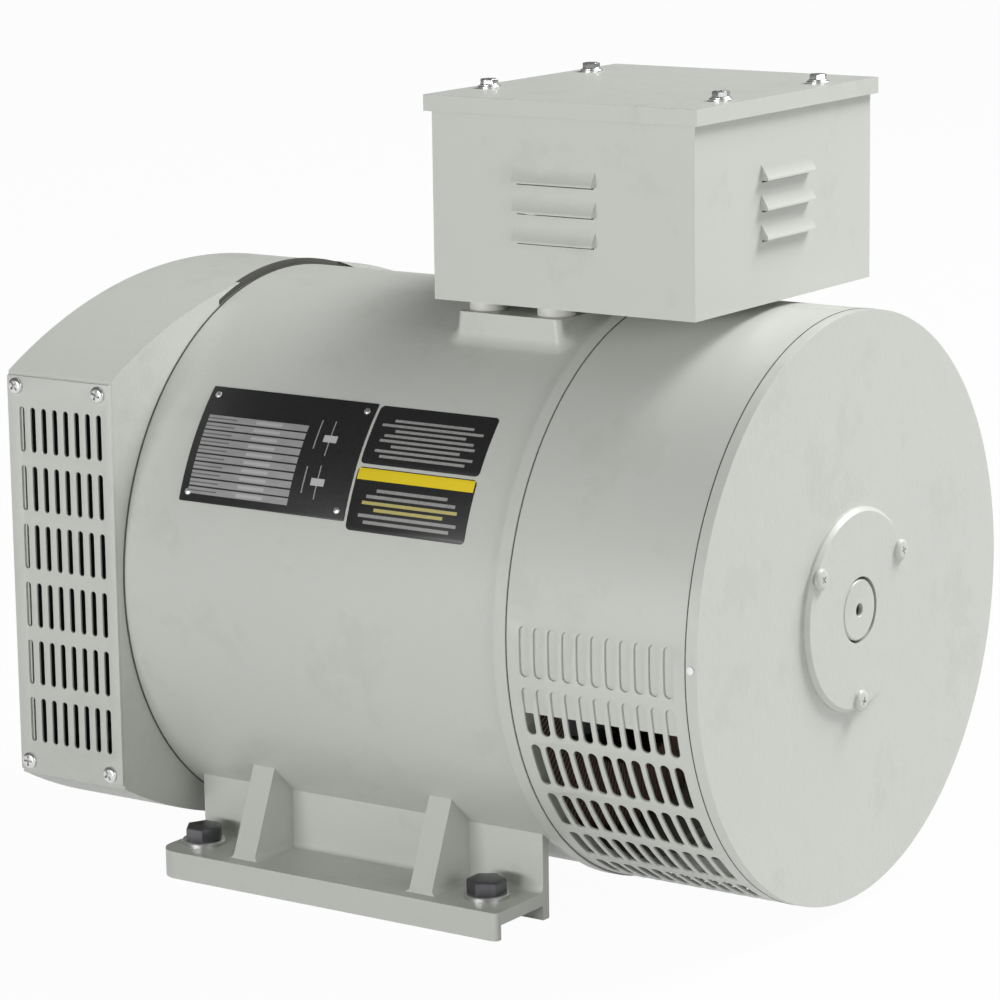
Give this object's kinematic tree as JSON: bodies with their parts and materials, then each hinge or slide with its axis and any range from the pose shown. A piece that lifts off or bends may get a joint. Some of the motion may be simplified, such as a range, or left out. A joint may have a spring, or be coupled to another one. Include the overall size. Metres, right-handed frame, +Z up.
{
  "type": "generator alternator head",
  "caption": "Horizontal brush alternator head with a round foot-mounted frame, boxy ventilated drive-end bracket, slotted rear drum and a terminal box on top.",
  "frame": {"origin": "centre of the four foot bolts on the foot plane, under the shaft axis", "axes": "+X along the shaft from the drive end to the rear disc, +Z up; the drive shaft leaves along -X"},
  "size_m": [0.5138, 0.3202, 0.4268],
  "materials": {
    "paint": "satin light grey-green enamel",
    "zinc": "bright zinc plated",
    "dark_steel": "dark oiled steel",
    "ground_steel": "ground steel",
    "lamination": "varnished electrical steel",
    "copper": "varnished copper",
    "ring_brass": "turned brass",
    "resin": "moulded phenolic",
    "cast_alloy": "cast aluminium",
    "pale_plastic": "moulded nylon",
    "black_rubber": "matt rubber",
    "plate_black": "black anodised, ruled",
    "rivet_alloy": "bare",
    "notice_black": "satin film",
    "rectifier_black": "moulded",
    "carbon": "carbon",
    "spring_steel": "spring steel",
    "cast_iron_bare": "machined cast iron",
    "bearing_steel": "polished bearing steel"
  },
  "bodies": {
    "housing": {"band_screws": "zinc", "box_bolts": "zinc", "box_spacers": "pale_plastic", "brush_arm": "zinc", "brush_holder": "resin", "cable_grommet": "black_rubber", "drive_bearing_cap": "cast_iron_bare", "drive_bearing_outer_race": "bearing_steel", "drive_bracket_bolts": "zinc", "drive_cap_screws": "zinc", "drive_end_bracket": "paint", "far_grille": "paint", "foot_bolts": "dark_steel", "foot_washers": "dark_steel", "grille_screws": "zinc", "lid_gasket": "black_rubber", "lid_screws": "zinc", "lid_washers": "zinc", "lower_notice": "notice_black", "nameplate": "plate_black", "nameplate_rivets": "rivet_alloy", "near_grille": "paint", "rear_bearing_cap": "cast_iron_bare", "rear_bearing_outer_race": "bearing_steel", "rear_bracket_bolts": "zinc", "rear_cap_screws": "zinc", "rear_end_bracket": "paint", "rectifier_bridge": "rectifier_black", "slotted_band": "paint", "stator_core": "lamination", "stator_frame": "paint", "stator_winding": "copper", "terminal_board": "resin", "terminal_box": "paint", "terminal_box_lid": "paint", "terminal_studs": "ring_brass", "upper_notice": "notice_black"},
    "rotor": {"shaft": "ground_steel", "rotor_core": "lamination", "field_coils": "copper", "fan": "cast_alloy", "slip_ring_hub": "resin", "slip_rings": "ring_brass", "drive_bearing_inner_race": "bearing_steel", "rear_bearing_inner_race": "bearing_steel"},
    "drive_balls": {"drive_bearing_ball_cage": "bearing_steel"},
    "rear_balls": {"rear_bearing_ball_cage": "bearing_steel"},
    "front_brush_unit": {"front_brush": "carbon", "front_brush_spring": "spring_steel"},
    "rear_brush_unit": {"rear_brush": "carbon", "rear_brush_spring": "spring_steel"}
  },
  "joints": [
    {"name": "rotor_spin", "type": "hinge", "parent": "housing", "child": "rotor", "pos_m": [0, 0, 0.16], "axis": [1, 0, 0], "continuous": true},
    {"name": "drive_balls_spin", "type": "hinge", "parent": "housing", "child": "drive_balls", "pos_m": [0, 0, 0.16], "axis": [1, 0, 0], "continuous": true},
    {"name": "rear_balls_spin", "type": "hinge", "parent": "housing", "child": "rear_balls", "pos_m": [0, 0, 0.16], "axis": [1, 0, 0], "continuous": true},
    {"name": "front_brush_slide", "type": "slide", "parent": "housing", "child": "front_brush_unit", "axis": [0, 0, 1], "range_m": [0, 0.007], "stiffness_N_per_m": 30, "springref_m": -0.02, "deforming": ["front_brush_spring"]},
    {"name": "rear_brush_slide", "type": "slide", "parent": "housing", "child": "rear_brush_unit", "axis": [0, 0, 1], "range_m": [0, 0.007], "stiffness_N_per_m": 30, "springref_m": -0.02, "deforming": ["rear_brush_spring"]}
  ],
  "couplings": [
    {"joint": "drive_balls_spin", "follows": "rotor_spin", "ratio": 0.3945},
    {"joint": "rear_balls_spin", "follows": "rotor_spin", "ratio": 0.3857}
  ]
}
